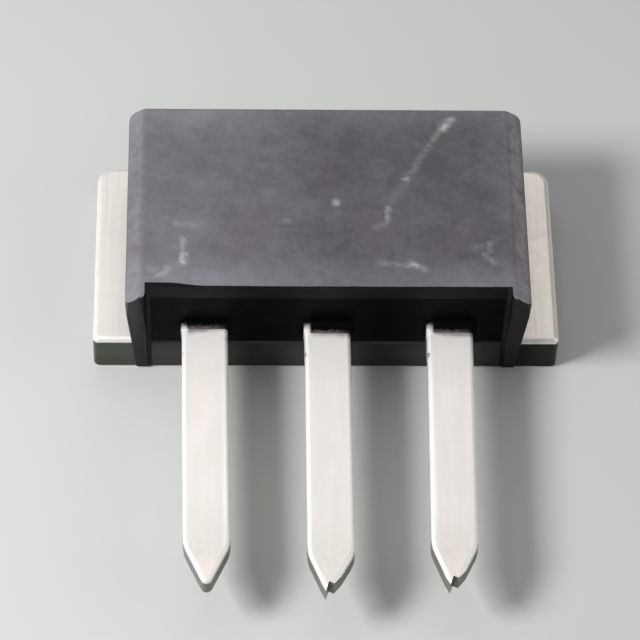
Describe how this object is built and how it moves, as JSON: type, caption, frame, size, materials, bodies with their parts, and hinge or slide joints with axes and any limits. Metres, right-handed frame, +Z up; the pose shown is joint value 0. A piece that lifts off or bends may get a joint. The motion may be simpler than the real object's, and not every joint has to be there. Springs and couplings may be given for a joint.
{
  "type": "schottky diode",
  "caption": "Flat power Schottky rectifier pair: bevelled plastic case potted on a wide metal base plate, with straight flat pointed leads in a row.",
  "frame": {"origin": "centre of the base plate's underside, the face that seats on a heat sink", "axes": "+Z up through the case, leads point along -Y, base plate's tabs stick out along +X and -X"},
  "size_m": [0.0196, 0.0224, 0.0056],
  "materials": {
    "plated_copper": "bright tin plating, satin, slightly worn",
    "tinned_copper": "bright tin plating with fine lengthwise draw lines",
    "case_plastic": "dark grey moulded plastic, matt, rubbed and scratched",
    "potting_compound": "black cast resin, semi-gloss, uneven",
    "silicon": "dark grey, polished",
    "solder": "dull silver, smooth"
  },
  "bodies": {
    "root": {"base_plate": "plated_copper", "case": "case_plastic", "potting_compound": "potting_compound", "anode_lead_left": "tinned_copper", "cathode_lead": "tinned_copper", "anode_lead_right": "tinned_copper", "schottky_die_left": "silicon", "schottky_die_right": "silicon", "die_solder_left": "solder", "die_solder_right": "solder", "anode_solder_left": "solder", "anode_solder_right": "solder", "cathode_solder": "solder"}
  },
  "joints": []
}
